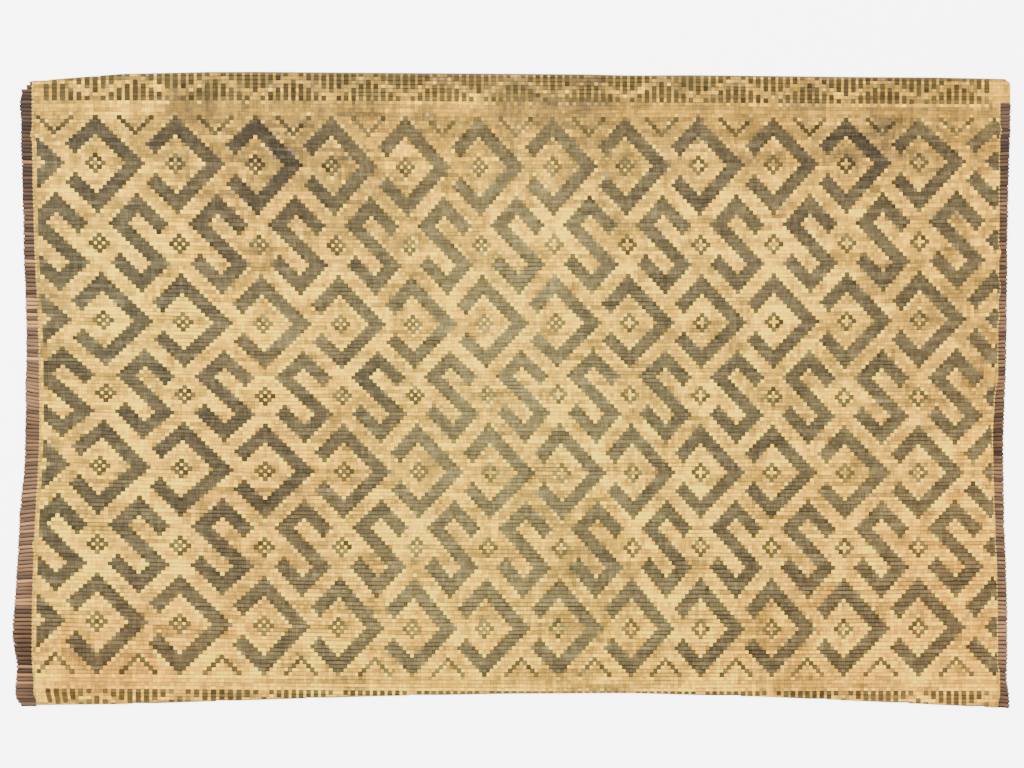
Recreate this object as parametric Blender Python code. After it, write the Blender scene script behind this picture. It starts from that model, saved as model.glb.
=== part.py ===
"""A flat mat of split reeds bound side by side with woven raffia strips, lying face up.

X runs along the reeds, +Y points to the far edge and +Z out of the face. The origin is the middle
of the underside, on the surface that the mat lies on. All sizes are in metres.
"""
import math
import random

import bpy

# Driving sizes of the woven field
REED_COUNT = 165
VALLEY_THICKNESS = 0.0026
CREST_THICKNESS = 0.0038
FIELD_LEFT_AT = -0.863
FIELD_RIGHT_AT = 0.879
FIELD_COLUMNS = (-0.700, -0.480, -0.250, -0.020, 0.210, 0.450, 0.680)
CORNER_FLAP_EDGE = 0.8975
CORNER_FLAP_DEPTH = 0.038
CORNER_FLAP_ROUND = 0.010

# Driving sizes of the bare reed ends and of the strip that joins them at their roots
ENDS_PER_SIDE = 150
LEFT_ENDS_SPAN = (-0.5675, 0.5390)
RIGHT_ENDS_SPAN = (-0.5733, 0.5170)
REED_THICKNESS = 0.0026
ROOT_STRIP_WIDTH = 0.0034
END_ROOT_SHARE = 0.78
END_TIP_SHARE = 0.70
END_TOP_SHARE = 0.55
LENGTH_SCATTER = 0.0012
HALF_LENGTH = 0.8991

# Driving sizes of the twined selvedge cord
TWINE_SPAN = 0.0030
TWINE_HEIGHT = 0.0018
TWINE_SWELL = 0.0004
TWINE_TOP_SHARE = 0.6

PIECE_GAP = 0.0003
SEED = 27

# Far and near edges of the field: place along X, far edge, near edge
LONG_EDGES = (
    (-0.863, 0.5555, -0.5680),
    (-0.806, 0.5590, -0.5680),
    (-0.762, 0.5640, -0.5675),
    (-0.676, 0.5695, -0.5660),
    (-0.546, 0.5720, -0.5610),
    (-0.460, 0.5733, -0.5590),
    (-0.287, 0.5733, -0.5535),
    (-0.157, 0.5730, -0.5500),
    (0.105, 0.5700, -0.5465),
    (0.188, 0.5660, -0.5465),
    (0.339, 0.5645, -0.5480),
    (0.490, 0.5675, -0.5550),
    (0.573, 0.5660, -0.5590),
    (0.750, 0.5625, -0.5660),
    (0.858, 0.5595, -0.5710),
    (0.879, 0.5590, -0.5733),
)

# Short sides: place along Y, left tips, left roots, right roots, right tips
SHORT_SIDES = (
    (-0.573, -0.8860, -0.8570, 0.8793, 0.8920),
    (-0.560, -0.8920, -0.8600, 0.8793, 0.8975),
    (-0.548, -0.8945, -0.8630, 0.8793, 0.8955),
    (-0.520, -0.8920, -0.8640, 0.8793, 0.8925),
    (-0.490, -0.8920, -0.8665, 0.8793, 0.8930),
    (-0.440, -0.8991, -0.8665, 0.8793, 0.8935),
    (-0.370, -0.8940, -0.8660, 0.8790, 0.8930),
    (-0.300, -0.8900, -0.8635, 0.8770, 0.8905),
    (-0.225, -0.8865, -0.8605, 0.8740, 0.8875),
    (-0.150, -0.8790, -0.8560, 0.8715, 0.8865),
    (-0.080, -0.8760, -0.8532, 0.8705, 0.8865),
    (-0.020, -0.8760, -0.8532, 0.8740, 0.8885),
    (0.010, -0.8755, -0.8535, 0.8790, 0.8900),
    (0.100, -0.8740, -0.8550, 0.8800, 0.8920),
    (0.250, -0.8790, -0.8615, 0.8815, 0.8940),
    (0.350, -0.8810, -0.8645, 0.8825, 0.8950),
    (0.495, -0.8850, -0.8665, 0.8833, 0.8991),
    (0.520, -0.8850, -0.8665, 0.8835, 0.8985),
    (0.539, -0.8780, -0.8665, 0.8835, 0.8980),
)
LEFT_TIPS, LEFT_ROOTS, RIGHT_ROOTS, RIGHT_TIPS = 1, 2, 3, 4

# Where the reed ends slant: place along Y, rise of the left tips, rise of the right tips
END_SLANTS = (
    (-0.573, -0.0005, -0.0010),
    (-0.545, 0.0000, -0.0015),
    (-0.480, 0.0000, 0.0000),
    (-0.060, 0.0015, 0.0015),
    (0.000, 0.0045, 0.0010),
    (0.055, 0.0040, 0.0000),
    (0.120, 0.0000, 0.0000),
    (0.539, 0.0000, 0.0000),
)


def smooth_line(table, column, place):
    """Value of the smooth line through one column of a table, at a place along its first column."""
    place = min(max(place, table[0][0]), table[-1][0])
    index = 0
    while index < len(table) - 2 and place > table[index + 1][0]:
        index += 1

    def slope(knot):
        before = table[max(knot - 1, 0)]
        after = table[min(knot + 1, len(table) - 1)]
        return (after[column] - before[column]) / (after[0] - before[0])

    start, end = table[index], table[index + 1]
    span = end[0] - start[0]
    t = (place - start[0]) / span
    ease_in = 2 * t ** 3 - 3 * t ** 2 + 1
    ease_out = 1 - ease_in
    pull_in = (t ** 3 - 2 * t ** 2 + t) * span
    pull_out = (t ** 3 - t ** 2) * span
    return (
        ease_in * start[column] + ease_out * end[column]
        + pull_in * slope(index) + pull_out * slope(index + 1)
    )


def far_edge(x):
    return smooth_line(LONG_EDGES, 1, x)


def near_edge(x):
    return smooth_line(LONG_EDGES, 2, x)


def finish(name, colour, roughness):
    """A plain non-metallic material."""
    material = bpy.data.materials.new(name)
    material.use_nodes = True
    shader = material.node_tree.nodes["Principled BSDF"]
    shader.inputs["Base Color"].default_value = (*colour, 1.0)
    shader.inputs["Roughness"].default_value = roughness
    shader.inputs["Metallic"].default_value = 0.0
    return material


def add_piece(name, points, faces, material):
    """One closed mesh object, standing in its place, with its faces pointing out."""
    mesh = bpy.data.meshes.new(name)
    mesh.from_pydata(points, [], faces)
    mesh.materials.append(material)
    mesh.validate()
    piece = bpy.data.objects.new(name, mesh)
    bpy.context.collection.objects.link(piece)
    return piece


def field_left(y):
    """Left side of the field, next to the root strip of the reed ends."""
    return smooth_line(SHORT_SIDES, LEFT_ROOTS, y) + ROOT_STRIP_WIDTH + PIECE_GAP


def field_right(y):
    """Right side of the field, with the far corner's flap out over the reed ends."""
    top = far_edge(CORNER_FLAP_EDGE)
    if y < top - CORNER_FLAP_DEPTH:
        return smooth_line(SHORT_SIDES, RIGHT_ROOTS, y) - ROOT_STRIP_WIDTH - PIECE_GAP
    above_bend = max(0.0, y - (top - CORNER_FLAP_ROUND))
    inset = CORNER_FLAP_ROUND - math.sqrt(max(0.0, CORNER_FLAP_ROUND ** 2 - above_bend ** 2))
    return CORNER_FLAP_EDGE - inset


def line_place(line, x):
    """Place along Y, at X, of one line between reeds, counted from the near edge."""
    share = line / REED_COUNT
    return near_edge(x) + share * (far_edge(x) - near_edge(x))


def woven_field(material):
    """The cloth: one rib for each reed on the face, and a flat underside."""
    left_ends = []
    right_ends = []
    for line in range(REED_COUNT + 1):
        left_ends.append(field_left(line_place(line, FIELD_LEFT_AT)))
        right_ends.append(field_right(line_place(line, FIELD_RIGHT_AT)))
    points = []

    def add_line(line, left, right, height):
        first = len(points)
        for x in (left, *FIELD_COLUMNS, right):
            points.append((x, line_place(line, x), height))
        return list(range(first, len(points)))

    lines = []
    for line in range(REED_COUNT):
        lines.append(add_line(line, left_ends[line], right_ends[line], VALLEY_THICKNESS))
        left = 0.5 * (left_ends[line] + left_ends[line + 1])
        right = 0.5 * (right_ends[line] + right_ends[line + 1])
        lines.append(add_line(line + 0.5, left, right, CREST_THICKNESS))
    lines.append(add_line(REED_COUNT, left_ends[-1], right_ends[-1], VALLEY_THICKNESS))

    faces = []
    for lower, upper in zip(lines, lines[1:]):
        for column in range(len(lower) - 1):
            faces.append((lower[column], lower[column + 1], upper[column + 1], upper[column]))

    floor = {}
    for line in range(0, len(lines), 2):
        whole_edge = line in (0, len(lines) - 1)
        for point in lines[line] if whole_edge else (lines[line][0], lines[line][-1]):
            floor[point] = len(points)
            points.append((points[point][0], points[point][1], 0.0))

    for line in range(0, len(lines) - 1, 2):
        near, crest, far = lines[line:line + 3]
        faces.append((floor[near[0]], near[0], crest[0], far[0], floor[far[0]]))
        faces.append((floor[far[-1]], far[-1], crest[-1], near[-1], floor[near[-1]]))
        near_row = [floor[point] for point in near if point in floor]
        far_row = [floor[point] for point in far if point in floor]
        faces.append((*near_row[::-1], *far_row))
    for edge in (lines[0], lines[-1][::-1]):
        for start, end in zip(edge, edge[1:]):
            faces.append((start, floor[start], floor[end], end))
    return add_piece("woven_field", points, faces, material)


def reed_ends(side, span, material):
    """Bare reed ends at one side (-1 left, 1 right), fused at their roots to a narrow strip."""
    roots, tips, slants = (LEFT_ROOTS, LEFT_TIPS, 1) if side < 0 else (RIGHT_ROOTS, RIGHT_TIPS, 2)
    scatter = random.Random(SEED + side)
    near, far = span
    pitch = (far - near) / ENDS_PER_SIDE
    centres = [near + pitch * (end + 0.5) for end in range(ENDS_PER_SIDE)]
    reaches = [abs(smooth_line(SHORT_SIDES, tips, centre)) for centre in centres]
    longest = reaches.index(max(reaches))
    layers = ((0.0, 1.0), (REED_THICKNESS, END_TOP_SHARE))
    points = []
    faces = []

    def add_point(x, y, z):
        points.append((x, y, z))
        return len(points) - 1

    def add_root(y, z):
        return add_point(smooth_line(SHORT_SIDES, roots, y), y, z)

    def add_inner(y, z):
        return add_point(smooth_line(SHORT_SIDES, roots, y) - side * ROOT_STRIP_WIDTH, y, z)

    def add_wall(*face):
        faces.append(face if side > 0 else face[::-1])

    def add_flat(layer, *face):
        add_wall(*(face if layer == 1 else face[::-1]))

    inner = []
    corners = []
    for height, _ in layers:
        inner.append([add_inner(near + pitch * end, height) for end in range(ENDS_PER_SIDE + 1)])
        corners.append((add_root(near, height), add_root(far, height)))

    near_sides = []
    far_sides = []
    for end, centre in enumerate(centres):
        reach = min(reaches[end] - scatter.uniform(0.0, LENGTH_SCATTER), HALF_LENGTH)
        tip_x = side * (HALF_LENGTH if end == longest else reach)
        tip_y = centre + smooth_line(END_SLANTS, slants, centre)
        rings = []
        for layer, (height, share) in enumerate(layers):
            half_root = 0.5 * pitch * END_ROOT_SHARE * share
            half_tip = 0.5 * pitch * END_TIP_SHARE * share
            ring = (
                add_root(centre - half_root, height),
                add_point(tip_x, tip_y - half_tip, height),
                add_point(tip_x, tip_y + half_tip, height),
                add_root(centre + half_root, height),
            )
            add_flat(layer, inner[layer][end], *ring, inner[layer][end + 1])
            rings.append(ring)
        bottom, top = rings
        for corner in range(3):
            add_wall(bottom[corner], bottom[corner + 1], top[corner + 1], top[corner])
        add_wall(inner[0][end + 1], inner[0][end], inner[1][end], inner[1][end + 1])
        near_sides.append((bottom[0], top[0]))
        far_sides.append((bottom[3], top[3]))

    before_joints = [(corners[0][0], corners[1][0]), *far_sides]
    after_joints = [*near_sides, (corners[0][1], corners[1][1])]
    for joint, (before, after) in enumerate(zip(before_joints, after_joints)):
        for layer in (0, 1):
            add_flat(layer, inner[layer][joint], before[layer], after[layer])
        add_wall(before[0], after[0], after[1], before[1])
    add_wall(inner[0][0], corners[0][0], corners[1][0], inner[1][0])
    add_wall(corners[0][1], inner[0][-1], inner[1][-1], corners[1][1])
    name = "reed_ends_left" if side < 0 else "reed_ends_right"
    return add_piece(name, points, faces, material)


def selvedge_twine(side, span, material):
    """Two-strand cord twined along one side, swelling over every second reed end."""
    roots = LEFT_ROOTS if side < 0 else RIGHT_ROOTS
    near, far = span
    base = REED_THICKNESS + PIECE_GAP
    points = []
    for step in range(ENDS_PER_SIDE + 1):
        y = near + (far - near) * step / ENDS_PER_SIDE
        swell = TWINE_SWELL * (1 if step % 2 else -1)
        middle = smooth_line(SHORT_SIDES, roots, y) - side * 0.5 * ROOT_STRIP_WIDTH
        half = 0.5 * (TWINE_SPAN + swell)
        top = base + TWINE_HEIGHT + swell
        points.append((middle - half, y, base))
        points.append((middle + half, y, base))
        points.append((middle + TWINE_TOP_SHARE * half, y, top))
        points.append((middle - TWINE_TOP_SHARE * half, y, top))
    faces = [(0, 1, 2, 3)]
    for step in range(ENDS_PER_SIDE):
        ring = [4 * step + corner for corner in range(4)]
        for corner in range(4):
            start, end = ring[corner], ring[(corner + 1) % 4]
            faces.append((end, start, start + 4, end + 4))
    last = 4 * ENDS_PER_SIDE
    faces.append((last + 3, last + 2, last + 1, last))
    name = "selvedge_twine_left" if side < 0 else "selvedge_twine_right"
    return add_piece(name, points, faces, material)


for old in list(bpy.data.objects):
    bpy.data.objects.remove(old)

raffia = finish("woven raffia", (0.62, 0.42, 0.21), 0.62)
reed = finish("split reed", (0.24, 0.15, 0.10), 0.55)
twine = finish("raffia twine", (0.72, 0.53, 0.31), 0.65)

woven_field(raffia)
for side, span in ((-1, LEFT_ENDS_SPAN), (1, RIGHT_ENDS_SPAN)):
    reed_ends(side, span, reed)
    selvedge_twine(side, span, twine)
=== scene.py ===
import math

import bmesh
import bpy
import numpy as np
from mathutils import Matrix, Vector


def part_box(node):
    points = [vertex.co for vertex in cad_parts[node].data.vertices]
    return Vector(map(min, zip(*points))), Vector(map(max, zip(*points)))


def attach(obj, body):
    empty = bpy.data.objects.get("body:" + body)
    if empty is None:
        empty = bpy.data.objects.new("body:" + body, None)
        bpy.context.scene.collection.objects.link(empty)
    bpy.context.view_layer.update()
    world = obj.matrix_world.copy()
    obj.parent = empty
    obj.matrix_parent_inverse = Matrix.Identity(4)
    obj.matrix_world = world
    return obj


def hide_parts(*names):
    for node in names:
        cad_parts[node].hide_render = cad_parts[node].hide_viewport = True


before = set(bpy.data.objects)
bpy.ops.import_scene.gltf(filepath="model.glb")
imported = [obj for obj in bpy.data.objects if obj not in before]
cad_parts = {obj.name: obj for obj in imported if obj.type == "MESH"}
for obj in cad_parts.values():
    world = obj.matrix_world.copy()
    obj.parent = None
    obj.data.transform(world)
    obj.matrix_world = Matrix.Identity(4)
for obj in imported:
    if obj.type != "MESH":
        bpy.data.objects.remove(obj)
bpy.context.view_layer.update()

# How the weave lies
# The mat is a sheet of reeds laid side by side along its length, counted from the first row of
# rosettes towards the near edge. Upright raffia strips cross them, counted from the first rosette
# towards the right. Years of use have bowed both, so a table says where some of them lie.
MM = 0.001
FIRST_REED, LAST_REED = -23, 141
FIRST_STRIP, LAST_STRIP = -15, 241
FLAP_LAST_STRIP = 244
FLAP_LAST_REED = -17
NARROWEST_REED = 0.22

# Strip number, then its place along X in millimetres at reeds 0, 40, 60, 80 and 120
STRIP_PLACES = (
    (0, -749, -734, -729, -741, -746),
    (20, -605, -591, -588, -594, -597),
    (40, -461, -447, -443, -443, -445),
    (60, -324, -307, -304, -301, -312),
    (80, -191, -177, -173, -166, -179),
    (100, -59, -49, -43, -38, -49),
    (120, 74, 80, 84, 91, 84),
    (140, 204, 212, 213, 219, 215),
    (160, 336, 343, 340, 340, 340),
    (180, 471, 472, 471, 468, 468),
    (200, 602, 603, 598, 600, 597),
    (220, 733, 734, 732, 732, 732),
    (238, 855, 856, 852, 850, 855),
)
STRIP_PLACE_REEDS = (0, 40, 60, 80, 120)

# Reed number, then its place along Y in millimetres at strips 0, 40, 80, 120, 160, 200 and 240
REED_PLACES = (
    (-23.5, 571, 572, 570, 568, 566, 563, 561),
    (-16.5, 521, 521, 520, 518, 517, 515, 514),
    (0, 408, 405, 400, 401, 403, 406, 411),
    (20, 264, 260, 258, 261, 260, 263, 269),
    (40, 125, 118, 117, 120, 120, 123, 128),
    (60, -6, -12, -10, -8, -11, -14, -13),
    (80, -137, -147, -148, -151, -149, -150, -149),
    (100, -278, -284, -283, -286, -283, -285, -283),
    (120, -417, -425, -431, -430, -431, -431, -427),
    (136.5, -539, -541, -543, -544, -544, -543, -543),
    (141.5, -570, -573, -576, -579, -578, -577, -577),
)
REED_PLACE_STRIPS = (0, 40, 80, 120, 160, 200, 240)


def smooth_between(knots, values, places):
    """Smooth line through the values at the knots, read at the places, level past both ends."""
    knots = np.asarray(knots, float)
    values = np.asarray(values, float)
    slopes = np.gradient(values, knots)
    index = np.clip(np.searchsorted(knots, places) - 1, 0, len(knots) - 2)
    span = knots[index + 1] - knots[index]
    t = np.clip((places - knots[index]) / span, 0, 1)
    ease = 3 * t ** 2 - 2 * t ** 3
    pull_in = (t ** 3 - 2 * t ** 2 + t) * span * slopes[index]
    pull_out = (t ** 3 - t ** 2) * span * slopes[index + 1]
    return values[index] * (1 - ease) + values[index + 1] * ease + pull_in + pull_out


def between_lines(knots, lines, places):
    """Straight blend between lines of values that stand at the knots, carried on past the ends."""
    knots = np.asarray(knots, float)
    lines = np.asarray(lines, float)
    index = np.clip(np.searchsorted(knots, places) - 1, 0, len(knots) - 2)
    t = (places - knots[index]) / (knots[index + 1] - knots[index])
    column = np.arange(lines.shape[1])
    return lines[index, column] * (1 - t) + lines[index + 1, column] * t


def mesh_places(mesh):
    points = np.empty(len(mesh.vertices) * 3, np.float32)
    mesh.vertices.foreach_get("co", points)
    return points.reshape(-1, 3).astype(float)


def floor_points(node):
    """Places of a solid's points that touch the floor."""
    points = mesh_places(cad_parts[node].data)
    return np.unique(np.round(points[points[:, 2] < 0.1 * MM, :2], 5), axis=0)


def long_edge(points, way):
    """Far (1) or near (-1) edge of the field, as places along X and Y."""
    line = points[(np.abs(points[:, 0]) < 0.8) & (points[:, 1] * way > 0)]
    ends = [points[points[:, 0] * side > 0.8] for side in (-1, 1)]
    corners = [end[np.argmax(end[:, 1] * way)] for end in ends]
    line = np.vstack((corners[0], line, corners[1]))
    return line[np.argsort(line[:, 0])].T


def short_side(node, way, bands=75):
    """Outermost places along X of one set of reed ends, seen towards way, as Y and X."""
    points = floor_points(node)
    limits = np.linspace(points[:, 1].min(), points[:, 1].max(), bands + 1)
    middles = 0.5 * (limits[1:] + limits[:-1])
    outer = []
    for low, high in zip(limits, limits[1:]):
        inside = points[(points[:, 1] >= low) & (points[:, 1] <= high), 0]
        outer.append(way * (inside * way).max())
    return middles, np.array(outer)


field_low, field_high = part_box("woven_field")
field_floor = floor_points("woven_field")
far_edge = long_edge(field_floor, 1)
near_edge = long_edge(field_floor, -1)
left_tips = short_side("reed_ends_left", -1)
left_roots = short_side("reed_ends_left", 1)
right_tips = short_side("reed_ends_right", 1)
right_roots = short_side("reed_ends_right", -1)
PIECE_GAP = 0.3 * MM

# The flap at the far right corner lies over the reed ends, and its outer corner is rounded
FLAP_ROOT = 879.5 * MM
FLAP_OUTER = 885 * MM
FLAP_FOOT = 500 * MM
flap_side = field_floor[(field_floor[:, 0] > FLAP_OUTER) & (field_floor[:, 1] > FLAP_FOOT)]
flap_side = flap_side[np.argsort(flap_side[:, 1])]


def open_reed_place(strip, reed):
    """Place along Y before the mat's own edges limit it."""
    lines = [smooth_between(*zip(*[(row[0], row[1 + column]) for row in REED_PLACES]), reed)
             for column in range(len(REED_PLACE_STRIPS))]
    return MM * between_lines(REED_PLACE_STRIPS, lines, np.clip(strip, FIRST_STRIP, LAST_STRIP))


def strip_place(strip, reed, y):
    """Place along X of a strip at a reed."""
    places = [smooth_between(STRIP_PLACE_REEDS, row[1:], reed) * MM for row in STRIP_PLACES]
    left = np.interp(y, *left_roots) + PIECE_GAP
    right = np.interp(y, *right_roots) - PIECE_GAP
    knots = (FIRST_STRIP - 0.5, *[row[0] for row in STRIP_PLACES], LAST_STRIP + 0.5)
    x = np.minimum(between_lines(knots, [left, *places, right], strip), field_high.x)
    corner = np.interp(y, flap_side[:, 1], flap_side[:, 0])
    past_root = np.maximum(x - FLAP_ROOT, 0) * (corner - FLAP_ROOT) / (field_high.x - FLAP_ROOT)
    return np.minimum(x, FLAP_ROOT) + past_root


def reed_edges(strip, reed):
    """Far and near side of a reed at a strip, kept inside the mat's outline."""
    sides = []
    for half in (-0.5, 0.5):
        y = open_reed_place(strip, reed + half)
        x = strip_place(strip, reed, y)
        sides.append(np.clip(y, np.interp(x, *near_edge), np.interp(x, *far_edge)))
    return sides


def lay(strip, reed):
    """Place in the mat of a point given by its strip and reed number, parts of one included."""
    whole = np.round(reed)
    far, near = reed_edges(strip, whole)
    y = far + (reed - whole + 0.5) * (near - far)
    return strip_place(strip, reed, y), y


# The figure in the weave
# Each place across the mat has two strips, one plain and one dyed dark. Where one passes over the
# reeds the other passes behind them, and so they draw big open diamonds and hooked figures in
# turn, with a small rosette in every gap and a zigzag frieze of upright bars at both long edges.
REPEAT = 20
ROSETTE_STEP = 20
BORDER_DEPTH = 7
BORDER_BAR_STEP = 2
BORDER_ZIGZAG = 20
NEAR_BORDER_END = 143

# Reed of each row of rosettes, then the last strip whose rosette has a dark heart
ROSETTE_HEARTS = ((0, 140), (20, 100), (40, 120), (60, 100), (80, 80), (100, 80), (120, 100))


def open_diamond(dx, dy):
    """Ring four cells thick, open at its left corner."""
    ring = np.abs(dx) + np.abs(dy)
    return (ring >= 8) & (ring <= 12) & (dx + np.abs(dy) >= -2)


def hooked_figure(dx, dy):
    """Slanting bar with a hook back from each end."""
    ring = np.abs(dx) + np.abs(dy)
    bar = (ring <= 12) & (np.abs(dx - dy) <= 2)
    far_hook = (dy < 0) & (dx + dy <= 2) & (dx - dy >= -2)
    near_hook = (dy > 0) & (dx + dy >= -2) & (dx - dy <= 2)
    return bar | ((ring >= 8) & (ring <= 12) & (far_hook | near_hook))


def rosette(dx, dy, reed, middle):
    """Ring of eight cells, filled where it meets the right side, with a dark heart in some."""
    ring = np.abs(dx) + np.abs(dy)
    dark = ring == 2
    for row, last in ROSETTE_HEARTS:
        dark |= (ring == 0) & (reed == row) & (middle <= last)
    filled = (middle >= LAST_STRIP - 1) & (((dx <= 0) & (ring <= 2)) | ((dx > 0) & (abs(dy) <= 2)))
    return dark | filled


def dyed_over(strip, reed):
    """True where the dyed strip lies on the face."""
    across = (strip + REPEAT // 2) % REPEAT - REPEAT // 2
    dyed = np.zeros(np.broadcast(strip, reed).shape, bool)
    diamond_row = (reed + REPEAT) % (2 * REPEAT) - REPEAT
    hook_row = reed % (2 * REPEAT) - REPEAT
    for shift in (-REPEAT, 0, REPEAT):
        dyed |= (reed >= -12) & (reed <= 132) & open_diamond(across + shift, diamond_row)
        beside = (strip % REPEAT) - REPEAT // 2 + shift
        dyed |= (reed >= 8) & (reed <= 112) & hooked_figure(beside, hook_row)
    along = (reed + ROSETTE_STEP // 2) % ROSETTE_STEP - ROSETTE_STEP // 2
    dyed |= (reed >= -2) & (reed <= 122) & rosette(across, along, reed, strip - across)

    off_peak = np.abs((strip % REPEAT) - REPEAT // 2)
    dyed |= (off_peak <= 4) & ((reed == -8 - off_peak) | (reed == 128 + off_peak))

    depth = np.where(reed < 60, reed - FIRST_REED, NEAR_BORDER_END - reed)
    turn = np.abs(strip % BORDER_ZIGZAG - BORDER_ZIGZAG // 2) // 2
    pale_line = (depth >= turn) & (depth <= turn + 1)
    in_border = (depth < BORDER_DEPTH) & (strip > FIRST_STRIP + 2) & (strip < LAST_STRIP - 1)
    dyed |= in_border & (strip % BORDER_BAR_STEP == 0) & ~pale_line
    return dyed & (strip > FIRST_STRIP)


strips = np.arange(FIRST_STRIP, FLAP_LAST_STRIP + 1)[:, None]
reeds = np.arange(FIRST_REED, LAST_REED + 1)[None, :]
cell_shape = (strips.shape[0], reeds.shape[1])
cell_strip, cell_reed = (grid.ravel() for grid in np.broadcast_arrays(strips, reeds))
cell_far, cell_near = reed_edges(cell_strip, cell_reed)
usual_pitch = np.median(cell_far - cell_near)
held = (cell_far - cell_near > NARROWEST_REED * usual_pitch).reshape(cell_shape)
held &= (strips <= LAST_STRIP) | (reeds <= FLAP_LAST_REED)
dyed_on_face = held & dyed_over(strips, reeds)
plain_on_face = held & ~dyed_on_face
cell_x, cell_y = (place.reshape(cell_shape) for place in lay(cell_strip, cell_reed))


# Reeds of the field
# Split reeds about 7 mm wide, flat-oval in section, with a smooth brown rind. Nothing is glued:
# the raffia strips alone hold them edge to edge, and cover all but their ends.
REED_HALF_WIDTH = 0.5
REED_HALF_HEIGHT = 1.22 * MM
REED_MIDDLE = 1.85 * MM
REED_RISE_SCATTER = 0.10 * MM
REED_SIDES = 6
REED_STEPS = 44
REED_SEED = 5
CREASE_DEGREES = 50


def put_node(tree, kind, inputs=(), **settings):
    """Adds a node, sets its plain settings, and sets or links its inputs."""
    node = tree.nodes.new(kind)
    for name, value in settings.items():
        setattr(node, name, value)
    for name, value in dict(inputs).items():
        socket = node.inputs[name]
        if isinstance(value, bpy.types.NodeSocket):
            tree.links.new(value, socket)
        else:
            socket.default_value = value
    return node


def new_tree(name, sizes):
    """Empty geometry tree with a named input for each size and one for the material."""
    tree = bpy.data.node_groups.new(name, "GeometryNodeTree")
    face = tree.interface
    face.new_socket("Geometry", in_out="INPUT", socket_type="NodeSocketGeometry")
    for size, kind in sizes:
        face.new_socket(size, in_out="INPUT", socket_type=kind)
    face.new_socket("Material", in_out="INPUT", socket_type="NodeSocketMaterial")
    face.new_socket("Geometry", in_out="OUTPUT", socket_type="NodeSocketGeometry")
    return tree, tree.nodes.new("NodeGroupInput").outputs


def end_tree(tree, geometry, material):
    """Real mesh with its material, out of the tree."""
    real = put_node(tree, "GeometryNodeRealizeInstances", {"Geometry": geometry})
    dressed = put_node(tree, "GeometryNodeSetMaterial",
                       {"Geometry": real.outputs[0], "Material": material})
    out = tree.nodes.new("NodeGroupOutput")
    tree.links.new(dressed.outputs[0], out.inputs[0])
    return tree


def grow(name, points, edges, marks, tree, **inputs):
    """Runs a tree on points or lines and returns the plain mesh that it makes."""
    seed_mesh = bpy.data.meshes.new(name + "_seed")
    seed_mesh.from_pydata(np.asarray(points, float).tolist(), list(edges), [])
    for mark, values in marks.items():
        layer = seed_mesh.attributes.new(mark, "FLOAT", "POINT")
        layer.data.foreach_set("value", np.asarray(values, np.float32))
    seed = bpy.data.objects.new(name + "_seed", seed_mesh)
    bpy.context.scene.collection.objects.link(seed)
    modifier = seed.modifiers.new("grow", "NODES")
    modifier.node_group = tree
    for item in tree.interface.items_tree:
        if item.in_out == "INPUT" and item.name in inputs:
            modifier[item.identifier] = inputs[item.name]
    graph = bpy.context.evaluated_depsgraph_get()
    mesh = bpy.data.meshes.new_from_object(seed.evaluated_get(graph))
    mesh.name = name
    bpy.data.objects.remove(seed)
    return mesh


def rod_tree():
    """Rods of oval section along lines, closed at both ends."""
    tree, size = new_tree("rods along lines", (
        ("Half Width", "NodeSocketFloat"), ("Half Height", "NodeSocketFloat"),
        ("Sides", "NodeSocketInt")))
    line = put_node(tree, "GeometryNodeMeshToCurve", {"Mesh": size["Geometry"]})
    level = put_node(tree, "GeometryNodeSetCurveNormal", {"Curve": line.outputs[0]}, mode="Z_UP")
    ring = put_node(tree, "GeometryNodeCurvePrimitiveCircle",
                    {"Resolution": size["Sides"], "Radius": 1.0})
    scale = put_node(tree, "ShaderNodeCombineXYZ",
                     {"X": size["Half Width"], "Y": size["Half Height"], "Z": 1.0})
    oval = put_node(tree, "GeometryNodeTransform",
                    {"Geometry": ring.outputs[0], "Scale": scale.outputs[0]})
    rods = put_node(tree, "GeometryNodeCurveToMesh",
                    {"Curve": level.outputs[0], "Profile Curve": oval.outputs[0], "Fill Caps": True})
    return end_tree(tree, rods.outputs[0], size["Material"])


def face_middles(mesh):
    middles = np.empty(len(mesh.polygons) * 3)
    mesh.polygons.foreach_get("center", middles)
    return middles.reshape(-1, 3)


def reed_index(places):
    """Which reed, counted from the first, each point lies on before it is laid in place."""
    return np.clip(np.round(-places[:, 1]).astype(int) - FIRST_REED, 0, cell_shape[1] - 1)


def strip_index(places):
    """Which strip, counted from the first, each point lies on before it is laid in place."""
    return np.clip(np.round(places[:, 0]).astype(int) - FIRST_STRIP, 0, cell_shape[0] - 1)


def mark_faces(mesh, name, values):
    layer = mesh.attributes.new(name, "FLOAT", "FACE")
    layer.data.foreach_set("value", np.asarray(values, np.float32))


def set_places(mesh, x, y, z):
    mesh.vertices.foreach_set("co", np.column_stack((x, y, z)).astype(np.float32).ravel())
    mesh.update()


def show_piece(name, mesh, slot, *nodes):
    """Makes the piece, smooth but for its creases, puts it under the root body and hides the solids
    it stands for.
    """
    mesh.shade_smooth()
    mesh.set_sharp_from_angle(angle=math.radians(CREASE_DEGREES))
    piece = bpy.data.objects.new(name, mesh)
    bpy.context.scene.collection.objects.link(piece)
    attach(piece, "root")
    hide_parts(*nodes)
    return piece


def noise(tree, place, stretch, detail, scale=1.0):
    """Noise on the piece's own coordinates, stretched along its axes."""
    spread = put_node(tree, "ShaderNodeMapping", {"Vector": place, "Scale": stretch})
    return put_node(tree, "ShaderNodeTexNoise",
                    {"Vector": spread.outputs[0], "Scale": scale, "Detail": detail,
                     "Roughness": 0.55}).outputs["Fac"]


def remap(tree, value, low, high, to_low, to_high):
    return put_node(tree, "ShaderNodeMapRange",
                    {"Value": value, "From Min": low, "From Max": high,
                     "To Min": to_low, "To Max": to_high}).outputs["Result"]


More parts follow.
